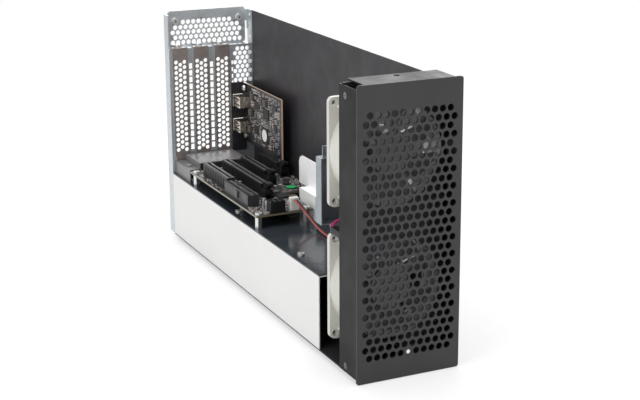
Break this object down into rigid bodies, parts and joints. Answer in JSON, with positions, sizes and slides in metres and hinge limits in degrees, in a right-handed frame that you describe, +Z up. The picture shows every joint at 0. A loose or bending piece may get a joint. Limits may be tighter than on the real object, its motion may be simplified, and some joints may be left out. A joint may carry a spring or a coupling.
{
  "type": "pcie expansion chassis",
  "caption": "Tall narrow desktop expansion chassis for plug-in cards, cover off: perforated front, fans behind it, vented slot covers, backplane on a shelf over the power section.",
  "frame": {"origin": "centre of the bounding box's bottom, on the surface that the feet stand on", "axes": "+Z up, the perforated front face looks towards -Y, +X to the right as seen from the front"},
  "size_m": [0.082, 0.395, 0.215],
  "materials": {
    "black_sheet": "matte",
    "zinc_sheet": "satin",
    "cover_sheet": "satin",
    "shelf_sheet": "gloss",
    "side_sheet": "satin",
    "grey_sheet": "satin",
    "white_sheet": "satin",
    "fan_plastic": "matte",
    "rotor_plastic": "satin",
    "screw_steel": "satin",
    "dark_screw": "satin",
    "psu_steel": "satin",
    "black_plastic": "matte",
    "grey_plastic": "matte",
    "white_plastic": "satin",
    "pcb": "satin",
    "brass_post": "satin",
    "chip": "matte",
    "capacitor": "satin",
    "coil": "matte",
    "port_steel": "satin",
    "led_lens": "gloss",
    "rubber": "matte",
    "red_wire": "satin",
    "black_wire": "satin"
  },
  "bodies": {
    "chassis": {"base_pan": "black_sheet", "front_face": "black_sheet", "front_flanges": "black_sheet", "front_frame": "black_sheet", "rear_panel": "zinc_sheet", "rear_top_plate": "zinc_sheet", "slot_cover_1": "cover_sheet", "slot_cover_2": "cover_sheet", "slot_cover_3": "cover_sheet", "slot_screws": "screw_steel", "plate_screws": "screw_steel", "bezel_screws": "dark_screw", "wall_screws": "dark_screw", "fan_frame_upper": "fan_plastic", "fan_frame_lower": "fan_plastic", "fan_screws": "dark_screw", "psu_shelf": "shelf_sheet", "psu_side_panel": "side_sheet", "shelf_screws": "screw_steel", "power_supply": "psu_steel", "power_inlet": "black_plastic", "exhaust_grille": "screw_steel", "backplane": "pcb", "standoffs": "brass_post", "board_screws": "screw_steel", "slot_a": "black_plastic", "slot_b": "black_plastic", "slot_c": "black_plastic", "slot_d": "black_plastic", "power_header": "grey_plastic", "cell_header": "black_plastic", "fan_header": "white_plastic", "board_chips": "chip", "board_capacitors": "capacitor", "board_coils": "coil", "host_card": "pcb", "host_bracket": "black_sheet", "host_ports": "port_steel", "host_chips": "chip", "host_coils": "coil", "rear_support": "grey_sheet", "card_support": "white_sheet", "fan_tray": "zinc_sheet", "tray_screws": "screw_steel", "status_led": "led_lens", "led_holder": "black_plastic", "rubber_feet": "rubber", "lead_red": "red_wire", "lead_black": "black_wire", "lead_plug": "white_plastic"},
    "upper_rotor": {"fan_rotor_upper": "rotor_plastic"},
    "lower_rotor": {"fan_rotor_lower": "rotor_plastic"},
    "latch_b_lever": {"latch_b": "black_plastic"},
    "latch_c_lever": {"latch_c": "black_plastic"},
    "latch_d_lever": {"latch_d": "black_plastic"}
  },
  "joints": [
    {"name": "upper_fan_spin", "type": "hinge", "parent": "chassis", "child": "upper_rotor", "pos_m": [0, -0.1545, 0.1585], "axis": [0, -1, 0], "continuous": true},
    {"name": "lower_fan_spin", "type": "hinge", "parent": "chassis", "child": "lower_rotor", "pos_m": [0, -0.1545, 0.059], "axis": [0, -1, 0], "continuous": true},
    {"name": "latch_b_pivot", "type": "hinge", "parent": "chassis", "child": "latch_b_lever", "pos_m": [-0.00968, 0.036, 0.0775], "axis": [1, 0, 0], "range_deg": [0, 30]},
    {"name": "latch_c_pivot", "type": "hinge", "parent": "chassis", "child": "latch_c_lever", "pos_m": [0.00964, 0.074, 0.0775], "axis": [1, 0, 0], "range_deg": [0, 30]},
    {"name": "latch_d_pivot", "type": "hinge", "parent": "chassis", "child": "latch_d_lever", "pos_m": [0.0299, 0.094, 0.0775], "axis": [1, 0, 0], "range_deg": [0, 30]}
  ]
}
